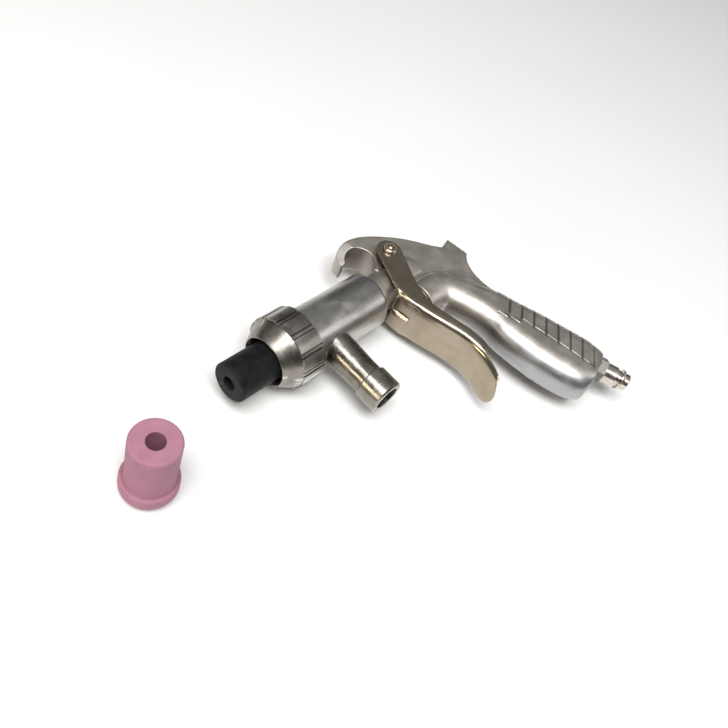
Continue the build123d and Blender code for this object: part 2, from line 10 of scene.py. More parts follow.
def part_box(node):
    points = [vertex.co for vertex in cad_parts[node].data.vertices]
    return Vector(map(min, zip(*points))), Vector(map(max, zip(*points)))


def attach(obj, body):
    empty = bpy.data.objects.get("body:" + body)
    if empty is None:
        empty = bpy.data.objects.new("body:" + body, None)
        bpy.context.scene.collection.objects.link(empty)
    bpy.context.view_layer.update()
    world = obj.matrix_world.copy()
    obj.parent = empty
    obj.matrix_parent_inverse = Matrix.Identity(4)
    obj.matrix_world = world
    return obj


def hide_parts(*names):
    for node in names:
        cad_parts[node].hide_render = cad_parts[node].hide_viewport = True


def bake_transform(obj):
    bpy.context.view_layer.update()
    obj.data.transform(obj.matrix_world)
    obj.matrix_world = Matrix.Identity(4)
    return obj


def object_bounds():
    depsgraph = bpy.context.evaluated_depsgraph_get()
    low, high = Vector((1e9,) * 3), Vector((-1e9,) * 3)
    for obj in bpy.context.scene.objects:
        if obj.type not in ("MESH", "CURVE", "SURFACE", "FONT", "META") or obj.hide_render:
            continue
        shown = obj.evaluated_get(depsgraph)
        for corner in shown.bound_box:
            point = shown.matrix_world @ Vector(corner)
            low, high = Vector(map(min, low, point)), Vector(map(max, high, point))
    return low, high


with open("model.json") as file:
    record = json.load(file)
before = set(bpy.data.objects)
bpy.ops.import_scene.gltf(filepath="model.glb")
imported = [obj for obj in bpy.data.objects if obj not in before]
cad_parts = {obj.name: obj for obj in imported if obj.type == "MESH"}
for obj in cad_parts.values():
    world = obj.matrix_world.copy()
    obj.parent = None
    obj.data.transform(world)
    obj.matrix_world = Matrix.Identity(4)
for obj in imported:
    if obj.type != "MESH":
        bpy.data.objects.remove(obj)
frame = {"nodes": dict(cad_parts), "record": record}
cad_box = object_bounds()
MM = 0.001


# ---------------------------------------------------------------- where things are
def middle(node):
    low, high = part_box(node)
    return (Vector(low) + Vector(high)) / 2


BARREL_AT = middle("nozzle_nut")
BARREL_DIR = Vector((1, 0, 0))
SUCTION_AT = middle("suction_tube")
SUCTION_DIR = Vector((0, -1, 0))
SPARE_AT = middle("spare_nozzle")
SPARE_DIR = Vector((0, 0, 1))
PIVOT_AT = middle("pivot_pin")
GRIP_ANGLE = math.radians(-67.0)
GRIP_DIR = Vector((math.cos(GRIP_ANGLE), math.sin(GRIP_ANGLE), 0))
GRIP_FRONT = Vector((math.sin(GRIP_ANGLE), -math.cos(GRIP_ANGLE), 0))
SEAL_AT = middle("inlet_seal")
VALVE_ANGLE = math.radians(10.5)
VALVE_DIR = Vector((math.cos(VALVE_ANGLE), math.sin(VALVE_ANGLE), 0))
VALVE_AT = middle("valve_stem")
MID_Z = BARREL_AT.z
THROAT_AT = PIVOT_AT + Vector((-16.0, 5.7, 0)) * MM

# the grip's pads, counted along the grip from a start above the seal
PAD_START = 67.1 * MM
PAD_PITCH = 7.4 * MM
PAD_SLANT = math.tan(math.radians(11.0))
PAD_TAPER = 1.3 * MM      # how much further forward each pad ends than the one above it
LONG_PAD_END = 2.2 * MM   # where the pads from the third on would end without the taper
FIRST_PAD_END = 7.6 * MM  # where the first two end


# ---------------------------------------------------------------- node helpers
class Graph:
    """A material's node tree, with one short call for each kind of node."""

    def __init__(self, name):
        self.material = bpy.data.materials.new(name)
        self.material.use_nodes = True
        self.tree = self.material.node_tree
        self.shader = self.tree.nodes["Principled BSDF"]
        self.place = self.node("ShaderNodeTexCoord").outputs["Object"]
        self.facing = self.node("ShaderNodeTexCoord").outputs["Normal"]

    def node(self, kind, **settings):
        made = self.tree.nodes.new(kind)
        for key, value in settings.items():
            setattr(made, key, value)
        return made

    def feed(self, socket, value):
        if isinstance(value, bpy.types.NodeSocket):
            self.tree.links.new(value, socket)
        elif value is not None:
            socket.default_value = value

    def math(self, operation, a, b=None, c=None, clamp=False):
        made = self.node("ShaderNodeMath", operation=operation, use_clamp=clamp)
        for socket, value in zip(made.inputs, (a, b, c)):
            self.feed(socket, value)
        return made.outputs[0]

    def vector(self, operation, a, b=None, out=0):
        made = self.node("ShaderNodeVectorMath", operation=operation)
        self.feed(made.inputs[0], a)
        self.feed(made.inputs[1], b)
        return made.outputs[out]

    def grain(self, size, detail=3.0, rough=0.55, stretch=None, at=None, distortion=0.0):
        """Noise with features of about a size in metres."""
        where = at if at is not None else self.place
        if stretch is not None:
            where = self.vector("MULTIPLY", where, stretch)
        made = self.node("ShaderNodeTexNoise")
        self.feed(made.inputs["Vector"], where)
        made.inputs["Scale"].default_value = 1.0 / size
        made.inputs["Detail"].default_value = detail
        made.inputs["Roughness"].default_value = rough
        made.inputs["Distortion"].default_value = distortion
        return made.outputs["Fac"]

    def rings(self, along, size, detail=2.0):
        """Noise in one dimension, so that it makes lines square to a distance."""
        made = self.node("ShaderNodeTexNoise", noise_dimensions="1D")
        self.feed(made.inputs["W"], along)
        made.inputs["Scale"].default_value = 1.0 / size
        made.inputs["Detail"].default_value = detail
        made.inputs["Roughness"].default_value = 0.6
        return made.outputs["Fac"]

    def cells(self, size, randomness=1.0):
        made = self.node("ShaderNodeTexVoronoi")
        self.feed(made.inputs["Vector"], self.place)
        made.inputs["Scale"].default_value = 1.0 / size
        made.inputs["Randomness"].default_value = randomness
        return made.outputs["Distance"]

    def band(self, value, low, high, to_low=0.0, to_high=1.0):
        """A smooth step of a value from one level to another."""
        made = self.node("ShaderNodeMapRange", interpolation_type="SMOOTHSTEP")
        for socket, number in zip(made.inputs, (value, low, high, to_low, to_high)):
            self.feed(socket, number)
        return made.outputs[0]

    def blend(self, amount, a, b, mode="MIX"):
        made = self.node("ShaderNodeMix", data_type="RGBA", blend_type=mode)
        self.feed(made.inputs["Factor"], amount)
        self.feed(made.inputs[6], a)
        self.feed(made.inputs[7], b)
        return made.outputs[2]

    def edges(self, low=0.505, high=0.56):
        """Convex edges, where handling has polished the surface."""
        point = self.node("ShaderNodeNewGeometry").outputs["Pointiness"]
        return self.band(point, low, high)

    def occlusion_shade(self, reach, strength=1.0):
        """Painted shade: darker in corners and recesses, by ambient occlusion."""
        made = self.node("ShaderNodeAmbientOcclusion", samples=8)
        made.inputs["Distance"].default_value = reach
        return self.math("MULTIPLY", self.band(made.outputs["AO"], 0.85, 0.3), strength)

    def run(self, at, direction):
        """Distance along an axis plus distance from it: constant round each turned ring."""
        offset = self.vector("SUBTRACT", self.place, tuple(at))
        along = self.vector("DOT_PRODUCT", offset, tuple(direction), out=1)
        aside = self.vector("CROSS_PRODUCT", offset, tuple(direction))
        reach = self.vector("LENGTH", aside, out=1)
        return self.math("ADD", along, reach)

    def bump(self, height, distance, strength=1.0, over=None):
        made = self.node("ShaderNodeBump")
        made.inputs["Distance"].default_value = distance
        made.inputs["Strength"].default_value = strength
        self.feed(made.inputs["Height"], height)
        if over is not None:
            self.feed(made.inputs["Normal"], over)
        return made.outputs[0]

    def close(self, colour, roughness, normal=None, metallic=1.0, **constants):
        self.feed(self.shader.inputs["Base Color"], colour)
        self.feed(self.shader.inputs["Roughness"], roughness)
        self.shader.inputs["Metallic"].default_value = metallic
        if normal is not None:
            self.feed(self.shader.inputs["Normal"], normal)
        for name, value in constants.items():
            self.shader.inputs[name.replace("_", " ")].default_value = value
        return self.material


def shade(level, warm=0.0):
    """An opaque grey, a little warm."""
    return (level * (1 + warm), level, level * (1 - 1.3 * warm), 1)


def dimmed(colour, factor):
    """A colour made darker, still opaque."""
    return tuple(part * factor for part in colour[:3]) + (1,)


# ---------------------------------------------------------------- materials
def pad_groove_shade(g, down, forward):
    """Painted shade in the slanted grooves between the grip's pads, and along the pads' front
    ends.
    """
    slant = g.math("SUBTRACT", down, g.math("MULTIPLY", forward, PAD_SLANT))
    count = g.math("DIVIDE", g.math("ADD", slant, PAD_START), PAD_PITCH)
    reached = g.math("ADD", forward, g.math("MULTIPLY", count, -PAD_TAPER))
    between = g.band(g.math("FRACT", count), 0.235, 0.15)
    between = g.math("MULTIPLY", between, g.band(count, 0.8, 0.95))
    between = g.math("MULTIPLY", between, g.band(count, 8.4, 8.0))
    between = g.math("MULTIPLY", between, g.band(reached, 4.5 * MM, 2.5 * MM))
    rim = g.math("ABSOLUTE", g.math("SUBTRACT", reached, LONG_PAD_END))
    rim = g.math("MULTIPLY", g.band(rim, 0.9 * MM, 0.5 * MM), g.band(count, 1.9, 2.0))
    groove_shade = g.math("MAXIMUM", between, g.math("MULTIPLY", rim, g.band(count, 8.05, 7.95)))
    rim = g.math("ABSOLUTE", g.math("SUBTRACT", forward, FIRST_PAD_END))
    rim = g.math("MULTIPLY", g.band(rim, 1.2 * MM, 0.6 * MM), g.band(count, 0.1, 0.2))
    return g.math("MAXIMUM", groove_shade, g.math("MULTIPLY", rim, g.band(count, 2.05, 1.95)))


def cast_aluminium(name):
    """Tumbled casting: polished in front, dull elsewhere, with painted shade in its grooves,
    throat and recesses.
    """
    g = Graph(name)
    offset = g.vector("SUBTRACT", g.place, tuple(SEAL_AT))
    forward = g.vector("DOT_PRODUCT", offset, tuple(GRIP_FRONT), out=1)
    down = g.vector("DOT_PRODUCT", offset, tuple(GRIP_DIR), out=1)
    upright = g.math("ABSOLUTE", g.vector("DOT_PRODUCT", g.facing, (0, 0, 1), out=1))
    # hands and the buffing wheel have polished the round front of the neck and grip
    rounded = g.band(upright, 0.99, 0.80)
    front = g.band(forward, 10 * MM, 15 * MM)
    reach = g.band(down, -98 * MM, -84 * MM)
    wander = g.grain(16 * MM, detail=2)
    polished = g.math("MULTIPLY", g.math("MULTIPLY", rounded, front), reach)
    polished = g.math("MULTIPLY", polished, g.band(wander, 0.2, 0.5, 0.85, 1.0))
    coarse = g.grain(9 * MM, detail=5, rough=0.6)
    fine = g.grain(0.55 * MM, detail=4, rough=0.7)
    blasted = g.grain(0.22 * MM, detail=2, rough=0.6)
    pits = g.band(g.cells(2.6 * MM), 0.10, 0.05)
    pits = g.math("MULTIPLY", pits, g.band(g.grain(7 * MM), 0.52, 0.62))
    brushed = g.grain(0.5 * MM, detail=2, stretch=(0.35, 1.4, 1.0))
    edges = g.edges(0.52, 0.60)
    groove_shade = pad_groove_shade(g, down, forward)
    # painted shade: the hook's throat is darkened where its faces turn away from the cheeks
    throat_shade = g.vector("SUBTRACT", g.place, tuple(THROAT_AT))
    throat_shade = g.band(g.vector("LENGTH", throat_shade, out=1), 16 * MM, 11 * MM)
    throat_shade = g.math("MULTIPLY", throat_shade, g.band(upright, 0.80, 0.45))
    # painted shade: darker in corners and recesses, close up and further out, by ambient
    # occlusion
    crevice_shade = g.occlusion_shade(1.6 * MM)
    shadow = g.occlusion_shade(11.0 * MM)
    colour = g.blend(g.band(coarse, 0.3, 0.7), shade(0.52, 0.085), shade(0.62, 0.07))
    colour = g.blend(g.band(fine, 0.3, 0.7, 0, 0.35), colour, shade(0.71, 0.07))
    colour = g.blend(polished, colour, (0.43, 0.43, 0.436, 1))
    colour = g.blend(g.math("MULTIPLY", edges, 0.3), colour, (0.80, 0.79, 0.77, 1))
    # painted shade in the pad grooves and along the pads' front ends
    colour = g.blend(g.math("MULTIPLY", groove_shade, 0.72), colour, (0.12, 0.11, 0.10, 1))
    # painted shade in the hook's throat
    colour = g.blend(g.math("MULTIPLY", throat_shade, 0.45), colour, (0.17, 0.16, 0.15, 1))
    colour = g.blend(g.math("MULTIPLY", shadow, 0.55), colour, (0.20, 0.19, 0.18, 1))
    # painted shade in tight corners and recesses
    colour = g.blend(g.math("MULTIPLY", crevice_shade, 0.75), colour, (0.10, 0.092, 0.082, 1))
    colour = g.blend(g.math("MULTIPLY", pits, 0.6), colour, (0.16, 0.15, 0.14, 1))
    smooth = g.band(g.grain(6 * MM), 0.3, 0.7, 0.31, 0.41)
    rough = g.node("ShaderNodeMix", data_type="FLOAT")
    g.feed(rough.inputs[0], polished)
    g.feed(rough.inputs[2], g.band(coarse, 0.25, 0.75, 0.38, 0.50))
    g.feed(rough.inputs[3], smooth)
    rough = g.math("SUBTRACT", rough.outputs[0], g.math("MULTIPLY", edges, 0.08))
    matt = g.math("SUBTRACT", 1.0, g.math("MULTIPLY", polished, 0.85))
    height = g.math("ADD", g.math("MULTIPLY", blasted, 0.5), g.math("MULTIPLY", fine, 0.8))
    height = g.math("MULTIPLY", height, matt)
    height = g.math("SUBTRACT", height, g.math("MULTIPLY", pits, 1.2))
    height = g.math("ADD", height, g.math("MULTIPLY", brushed, 0.12))
    normal = g.bump(height, 0.035 * MM, 0.9)
    normal = g.bump(g.grain(12 * MM, detail=1), 0.12 * MM, 0.3, over=normal)
    return g.close(colour, rough, normal)


def turned_metal(name, at, direction, dark, light, roughness, lines, depth=0.012,
                 glow=None, stains_and_shade=0.5, anisotropic=0.5):
    """A lathe-turned metal with fine rings, stains, rubbed edges and painted shade in its
    recesses.
    """
    g = Graph(name)
    run = g.run(at, direction)
    fine = g.rings(run, lines, detail=3)
    broad = g.rings(run, lines * 14, detail=2)
    slender = tuple(0.16 if abs(part) > 0.5 else 1.0 for part in direction)
    streaks = g.grain(4 * MM, detail=4, rough=0.6, stretch=slender)
    coarse = g.grain(7 * MM, detail=5, rough=0.6)
    speck = g.grain(0.6 * MM, detail=3, rough=0.7)
    edges = g.edges()
    crevice_shade = g.occlusion_shade(2.0 * MM)
    colour = g.blend(g.band(coarse, 0.3, 0.7), dark, light)
    colour = g.blend(g.band(fine, 0.3, 0.7, 0, 0.4), colour, dimmed(dark, 0.72))
    colour = g.blend(g.band(broad, 0.42, 0.7, 0, 0.3), colour, light)
    stain = g.band(streaks, 0.50, 0.68, 0, stains_and_shade * 0.7)
    colour = g.blend(stain, colour, dimmed(dark, 0.45))
    if glow is not None:
        colour = g.blend(g.band(speck, 0.48, 0.75, 0, 0.6), colour, glow)
    colour = g.blend(g.math("MULTIPLY", edges, 0.55), colour, (0.86, 0.84, 0.80, 1))
    # painted shade in recesses, scaled together with the stains
    colour = g.blend(g.math("MULTIPLY", crevice_shade, stains_and_shade), colour, (0.07, 0.065, 0.06, 1))
    rough = g.band(coarse, 0.3, 0.7, roughness - 0.04, roughness + 0.06)
    rough = g.math("ADD", rough, g.band(fine, 0.3, 0.7, -0.05, 0.06))
    height = g.math("ADD", fine, g.math("MULTIPLY", speck, 0.35))
    normal = g.bump(height, depth * MM, 0.9)
    return g.close(colour, rough, normal, Anisotropic=anisotropic)


def plated_sheet(name):
    """Bright plated steel sheet with a warm tone, fine rolling lines, rubbed edges that also
    carry a painted highlight along the bends, and painted shade in its recesses.
    """
    g = Graph(name)
    coarse = g.grain(11 * MM, detail=3, rough=0.5)
    rolled = g.grain(0.6 * MM, detail=2, stretch=(1.0, 0.12, 1.0))
    speck = g.grain(1.4 * MM, detail=4, rough=0.6)
    edges = g.edges(0.52, 0.60)
    crevice_shade = g.occlusion_shade(2.5 * MM)
    patches = g.band(coarse, 0.3, 0.7)
    colour = g.blend(patches, (0.355, 0.300, 0.222, 1), (0.43, 0.372, 0.288, 1))
    colour = g.blend(g.band(speck, 0.5, 0.9, 0, 0.2), colour, (0.36, 0.29, 0.20, 1))
    # rubbed edges, lightened also as a painted highlight along the sheet's bends
    colour = g.blend(g.math("MULTIPLY", edges, 0.7), colour, (0.84, 0.76, 0.60, 1))
    # painted shade in recesses
    colour = g.blend(g.math("MULTIPLY", crevice_shade, 0.55), colour, (0.13, 0.10, 0.07, 1))
    rough = g.band(coarse, 0.3, 0.7, 0.19, 0.25)
    rough = g.math("ADD", rough, g.band(speck, 0.4, 0.8, 0.0, 0.04))
    rough = g.math("ADD", rough, g.math("MULTIPLY", edges, 0.16))
    normal = g.bump(rolled, 0.002 * MM, 0.6)
    normal = g.bump(coarse, 0.08 * MM, 0.35, over=normal)
    return g.close(colour, rough, normal)


def nickel(name, at, direction, tint=(0.80, 0.73, 0.66, 1), roughness=0.13, dull_until=0.0):
    """Bright plating; up to a distance along the axis, it has gone dull and dark."""
    g = Graph(name)
    run = g.run(at, direction)
    fine = g.rings(run, 0.11 * MM, detail=2)
    coarse = g.grain(3 * MM, detail=4, rough=0.6)
    edges = g.edges()
    crevice_shade = g.occlusion_shade(1.2 * MM)
    colour = g.blend(g.band(coarse, 0.3, 0.7), dimmed(tint, 0.80), tint)
    colour = g.blend(g.math("MULTIPLY", edges, 0.5), colour, (0.92, 0.86, 0.78, 1))
    # painted shade in recesses
    colour = g.blend(g.math("MULTIPLY", crevice_shade, 0.6), colour, (0.16, 0.10, 0.07, 1))
    rough = g.band(coarse, 0.3, 0.75, roughness - 0.03, roughness + 0.09)
    if dull_until:
        offset = g.vector("SUBTRACT", g.place, tuple(at))
        along = g.vector("DOT_PRODUCT", offset, tuple(direction), out=1)
        dull = g.band(along, dull_until + 0.1 * MM, dull_until - 0.1 * MM)
        colour = g.blend(dull, colour, (0.20, 0.185, 0.17, 1))
        rough = g.math("ADD", rough, g.math("MULTIPLY", dull, 0.30))
    normal = g.bump(fine, 0.004 * MM, 0.7)
    return g.close(colour, rough, normal)


def ceramic(name):
    """Dry-pressed pink ceramic: fine grain, pores and a paler rubbed rim."""
    g = Graph(name)
    coarse = g.grain(6 * MM, detail=5, rough=0.6)
    fine = g.grain(0.35 * MM, detail=4, rough=0.7)
    pores = g.math("MULTIPLY", g.band(g.cells(0.9 * MM), 0.16, 0.06),
                   g.band(g.grain(2.5 * MM), 0.50, 0.62))
    run = g.run(SPARE_AT, SPARE_DIR)
    pressed = g.rings(run, 0.7 * MM, detail=2)
    edges = g.edges()
    crevice_shade = g.occlusion_shade(4.0 * MM)
    patches = g.band(coarse, 0.3, 0.7)
    colour = g.blend(patches, (0.325, 0.140, 0.200, 1), (0.385, 0.175, 0.243, 1))
    colour = g.blend(g.band(fine, 0.35, 0.7, 0, 0.35), colour, (0.44, 0.22, 0.29, 1))
    colour = g.blend(g.band(pressed, 0.45, 0.75, 0, 0.18), colour, (0.28, 0.11, 0.165, 1))
    colour = g.blend(g.math("MULTIPLY", edges, 0.35), colour, (0.52, 0.30, 0.37, 1))
    colour = g.blend(g.math("MULTIPLY", pores, 0.6), colour, (0.20, 0.06, 0.10, 1))
    # painted shade in recesses
    colour = g.blend(g.math("MULTIPLY", crevice_shade, 0.55), colour, (0.22, 0.055, 0.09, 1))
    rough = g.band(coarse, 0.3, 0.7, 0.62, 0.76)
    height = g.math("SUBTRACT", fine, g.math("MULTIPLY", pores, 1.5))
    normal = g.bump(height, 0.05 * MM, 0.8)
    return g.close(colour, rough, normal, metallic=0.0, Specular_IOR_Level=0.35)


def black_carbide(name):
    """Matt black sintered nozzle with a faint grey dusting."""
    g = Graph(name)
    coarse = g.grain(5 * MM, detail=5, rough=0.6)
    fine = g.grain(0.3 * MM, detail=4, rough=0.7)
    run = g.run(BARREL_AT, BARREL_DIR)
    ground = g.rings(run, 0.35 * MM, detail=3)
    edges = g.edges()
    patches = g.band(coarse, 0.3, 0.7)
    colour = g.blend(patches, (0.0055, 0.0055, 0.006, 1), (0.012, 0.012, 0.013, 1))
    colour = g.blend(g.band(fine, 0.55, 0.8, 0, 0.5), colour, (0.030, 0.030, 0.031, 1))
    colour = g.blend(g.math("MULTIPLY", edges, 0.5), colour, (0.06, 0.06, 0.06, 1))
    rough = g.band(coarse, 0.3, 0.7, 0.46, 0.58)
    rough = g.math("ADD", rough, g.band(fine, 0.3, 0.7, -0.05, 0.07))
    height = g.math("ADD", fine, g.math("MULTIPLY", ground, 0.5))
    normal = g.bump(height, 0.03 * MM, 0.8)
    return g.close(colour, rough, normal, metallic=0.0, Specular_IOR_Level=0.13)


def rubber(name, level=0.012):
    """Black rubber, a little dusty."""
    g = Graph(name)
    coarse = g.grain(2 * MM, detail=4, rough=0.6)
    fine = g.grain(0.2 * MM, detail=3, rough=0.6)
    dark = (level, level, level * 1.05, 1)
    dusty = (level * 2.6, level * 2.6, level * 2.5, 1)
    colour = g.blend(g.band(coarse, 0.4, 0.75), dark, dusty)
    rough = g.band(coarse, 0.3, 0.7, 0.55, 0.75)
    return g.close(colour, rough, g.bump(fine, 0.02 * MM, 0.7), metallic=0.0)


def moulded_white(name):
    """Off-white moulded plastic."""
    g = Graph(name)
    coarse = g.grain(2 * MM, detail=4, rough=0.6)
    fine = g.grain(0.15 * MM, detail=3, rough=0.6)
    patches = g.band(coarse, 0.3, 0.7)
    colour = g.blend(patches, (0.22, 0.215, 0.20, 1), (0.34, 0.335, 0.31, 1))
    rough = g.band(coarse, 0.3, 0.7, 0.38, 0.52)
    return g.close(colour, rough, g.bump(fine, 0.01 * MM, 0.6), metallic=0.0)


BRIGHT = (0.60, 0.585, 0.565, 1)
DULL = (0.44, 0.425, 0.405, 1)
body_metal = cast_aluminium("cast_aluminium")
head_metal = turned_metal("machined_head", BARREL_AT, BARREL_DIR, (0.50, 0.485, 0.465, 1),
                          (0.57, 0.555, 0.535, 1), 0.34, 0.16 * MM, 0.006)
nut_metal = turned_metal("machined_nut", BARREL_AT, BARREL_DIR, (0.250, 0.230, 0.200, 1),
                         (0.345, 0.322, 0.290, 1), 0.31, 0.20 * MM, 0.006)
suction_metal = turned_metal("turned_suction", SUCTION_AT, SUCTION_DIR, (0.20, 0.19, 0.165, 1),
                             (0.30, 0.285, 0.25, 1), 0.25, 0.30 * MM, 0.022,
                             glow=(0.50, 0.44, 0.30, 1))
steel = turned_metal("turned_steel", BARREL_AT, BARREL_DIR, DULL, BRIGHT, 0.3, 0.15 * MM)
stem_steel = turned_metal("ground_steel", VALVE_AT, VALVE_DIR, DULL, BRIGHT,
                          0.22, 0.12 * MM, 0.004)
brass = turned_metal("turned_brass", VALVE_AT, VALVE_DIR, (0.55, 0.38, 0.14, 1),
                     (0.70, 0.52, 0.24, 1), 0.26, 0.15 * MM)
spring_metal = turned_metal("drawn_wire", VALVE_AT, VALVE_DIR, DULL, BRIGHT, 0.3, 0.3 * MM)
trigger_metal = plated_sheet("plated_trigger")
plug_metal = nickel("plated_plug", SEAL_AT, GRIP_DIR, (0.70, 0.64, 0.57, 1), 0.16, 5.3 * MM)
cap_metal = nickel("plated_cap", VALVE_AT, VALVE_DIR, roughness=0.22)
pin_metal = nickel("plated_pin", PIVOT_AT, SPARE_DIR, (0.66, 0.53, 0.44, 1), 0.20)
pink = ceramic("pink_ceramic")
black = black_carbide("black_carbide")
black_rubber = rubber("black_rubber")
ptfe = moulded_white("white_ptfe")


# ---------------------------------------------------------------- pieces
def paint(thing, material):
    thing.data.materials.clear()
    thing.data.materials.append(material)
    for face in thing.data.polygons:
        face.material_index = 0


def paint_node(node, material):
    thing = frame["nodes"][node]
    for slot in thing.material_slots:
        slot.link = "OBJECT"
        slot.material = material


def body_of(node):
    for body, members in frame["record"]["behaviour"]["bodies"].items():
        if node in members:
            return body
    return "root"


def settle(thing, node, material):
    """Puts a piece in its node's place, with a material, on the node's body."""
    paint(thing, material)
    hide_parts(node)
    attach(thing, body_of(node))
    return thing


def copy_of(node, name):
    """A welded copy of a node's mesh, in a new object."""
    source = frame["nodes"][node]
    mesh = bmesh.new()
    mesh.from_mesh(source.data)
    bmesh.ops.remove_doubles(mesh, verts=mesh.verts, dist=0.002 * MM)
    made = bpy.data.meshes.new(name)
    mesh.to_mesh(made)
    mesh.free()
    thing = bpy.data.objects.new(name, made)
    bpy.context.scene.collection.objects.link(thing)
    return thing


def apply_modifiers(thing):
    graph = bpy.context.evaluated_depsgraph_get()
    graph.update()
    made = bpy.data.meshes.new_from_object(thing.evaluated_get(graph))
    thing.modifiers.clear()
    thing.data = made


def cast_copy(node, name, voxel, rounds, factor=0.5):
    """A copy with every corner softened, as casting and tumbling leave it."""
    thing = copy_of(node, name)
    remesh = thing.modifiers.new("skin", "REMESH")
    remesh.mode = "VOXEL"
    remesh.voxel_size = voxel
    remesh.use_smooth_shade = True
    soften = thing.modifiers.new("soften", "SMOOTH")
    soften.factor = factor
    soften.iterations = rounds
    apply_modifiers(thing)
    for face in thing.data.polygons:
        face.use_smooth = True
    return thing


def turned_copy(node, name, width, angle=28.0, segments=3):
    """A copy with its sharp edges broken, as a lathe tool or a file leaves them."""
    thing = copy_of(node, name)
    for face in thing.data.polygons:
        face.use_smooth = True
    bevel = thing.modifiers.new("break", "BEVEL")
    bevel.width = width
    bevel.segments = segments
    bevel.limit_method = "ANGLE"
    bevel.angle_limit = math.radians(angle)
    bevel.harden_normals = False
    bevel.use_clamp_overlap = True
    even = thing.modifiers.new("even", "WEIGHTED_NORMAL")
    even.weight = 60
    apply_modifiers(thing)
    return thing


def push(thing, rule):
    """Moves each vertex along its normal by a rule of its place."""
    normals = [vertex.normal.copy() for vertex in thing.data.vertices]
    for vertex, normal in zip(thing.data.vertices, normals):
        amount = rule(vertex.co, normal)
        if amount:
            vertex.co += normal * amount


def points_of(thing):
    flat = np.empty(len(thing.data.vertices) * 3)
    thing.data.vertices.foreach_get("co", flat)
    return flat.reshape(-1, 3)


def relax(thing, weights, rounds):
    """Evens out a mesh where the weights are above zero, so that corners there grow rounder."""
    points = points_of(thing)
    edges = np.empty(len(thing.data.edges) * 2, dtype=np.int64)
    thing.data.edges.foreach_get("vertices", edges)
    first, second = edges.reshape(-1, 2).T
    count = np.bincount(edges, minlength=len(points)).astype(float)[:, None]
    for _ in range(rounds):
        total = np.zeros_like(points)
        for axis in range(3):
            total[:, axis] += np.bincount(first, points[second, axis], len(points))
            total[:, axis] += np.bincount(second, points[first, axis], len(points))
        points = points + weights[:, None] * 0.6 * (total / count - points)
    thing.data.vertices.foreach_set("co", points.ravel())
    thing.data.update()


def rise(value, low, high):
    """A smooth step from 0 to 1 between two levels."""
    part = np.clip((value - low) / (high - low), 0, 1)
    return part * part * (3 - 2 * part)


def round_grip_end(thing):
    """Rounds the casting more where the front of the grip meets its butt."""
    at = points_of(thing) - np.array(SEAL_AT)
    down = at @ np.array(GRIP_DIR)
    forward = at @ np.array(GRIP_FRONT)
    relax(thing, rise(down, -9 * MM, -4 * MM) * rise(forward, 8 * MM, 12 * MM), 40)


SEAM_HALF_WIDTH = 0.8 * MM
RIDGE_HALF_WIDTH = 0.75 * MM
RIDGE_HEIGHT = 0.32 * MM
# the raised line where the flat cheek ends above the neck, in mm along and across the barrel,
# from a point on its axis just inside the nozzle's front face
RIDGE = [(118.0, -9.4), (125.0, -8.6), (133.3, -9.5), (141.8, -14.3),
         (146.6, -19.6), (151.1, -25.6), (154.5, -32.0)]
RIDGE_FROM = Vector((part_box("blast_nozzle")[0][0] + 0.4 * MM, BARREL_AT.y, 0))


def parting_line(at, normal):
    """The uneven seam that the two halves of the mould leave along the middle."""
    height = abs(at.z - MID_Z)
    if height > SEAM_HALF_WIDTH or abs(normal.z) > 0.5:
        return 0
    ripple = noise.noise(at * 120)
    return (0.07 + 0.05 * ripple) * MM * (1 - height / SEAM_HALF_WIDTH)


def ridge_line(at, normal):
    """The raised line on the flat cheeks, rounded across its width."""
    if abs(normal.z) < 0.6:
        return 0
    spot = Vector((at.x, at.y, 0)) - RIDGE_FROM
    reach = math.inf
    for a, b in zip(RIDGE, RIDGE[1:]):
        start = Vector((a[0], a[1], 0)) * MM
        along = Vector((b[0], b[1], 0)) * MM - start
        part = max(0.0, min(1.0, (spot - start).dot(along) / along.length_squared))
        reach = min(reach, (spot - start - along * part).length)
    if reach >= RIDGE_HALF_WIDTH:
        return 0
    return RIDGE_HEIGHT * max(0.0, 1 - (reach / RIDGE_HALF_WIDTH) ** 2)


def casting_waves(at, normal):
    return 0.05 * MM * noise.noise(at * 90) + parting_line(at, normal) + ridge_line(at, normal)


ROW = 1.0 * MM      # the trigger's face is found row by row along its length
WEB_EDGE = 5 * MM   # the face lies at least this far inside the sheet's sides
BEND = 4.2 * MM     # the corner of the sheet is reshaped over this distance
CORNER = 1.7 * MM   # the solid's own bend radius


def behind_face(at, side):
    """How far each point of the trigger lies behind the sheet's face."""
    low = at[:, 1].min()
    row = np.floor((at[:, 1] - low) / ROW).astype(int)
    face = np.full(row.max() + 1, np.inf)
    web = side < side.max() - WEB_EDGE
    np.minimum.at(face, row[web], at[web, 0])
    face[np.isinf(face)] = face.min()
    rows = low + (np.arange(len(face)) + 0.5) * ROW
    return at[:, 0] - np.interp(at[:, 1], rows, face)


